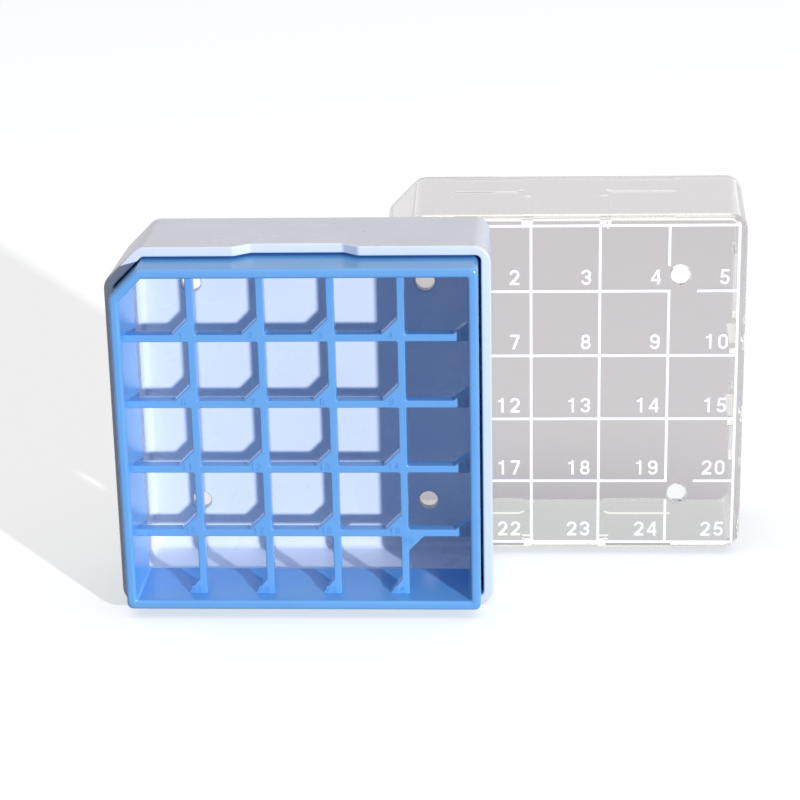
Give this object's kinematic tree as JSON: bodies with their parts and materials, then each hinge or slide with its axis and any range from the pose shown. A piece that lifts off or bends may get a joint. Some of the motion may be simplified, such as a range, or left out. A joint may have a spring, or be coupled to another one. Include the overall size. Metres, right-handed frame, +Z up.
{
  "type": "cryogenic storage box",
  "caption": "Square plastic freezer box opened up: shallow tray with a lift-out grid divider, and a clear numbered lid standing behind it.",
  "frame": {"origin": "middle of the tray's side face, the one that the opened box stands on", "axes": "+Z up; +Y from the tray's rim to its bottom face, the way the lid moves off; +X from the tray towards the lid's side"},
  "size_m": [0.129, 0.0622, 0.076],
  "materials": {
    "tray_white": "smooth moulded milky white polycarbonate, slightly translucent",
    "divider_blue": "smooth moulded sky-blue polycarbonate, semi-gloss",
    "lid_clear": "clear polycarbonate, polished, with faint scuffs",
    "ink_white": "opaque white screen-printed ink"
  },
  "bodies": {
    "tray": {"base_tray": "tray_white"},
    "divider": {"divider_frame": "divider_blue", "divider_grid": "divider_blue", "divider_numerals": "divider_blue"},
    "lid": {"lid_shell": "lid_clear", "lid_grid_print": "ink_white", "lid_number_print": "ink_white"}
  },
  "joints": [
    {"name": "divider_slide", "type": "slide", "parent": "tray", "child": "divider", "axis": [0, -1, 0], "range_m": [0, 0.035]},
    {"name": "lid_slide", "type": "slide", "parent": "tray", "child": "lid", "axis": [0, 1, 0], "range_m": [0, 0.06]}
  ]
}
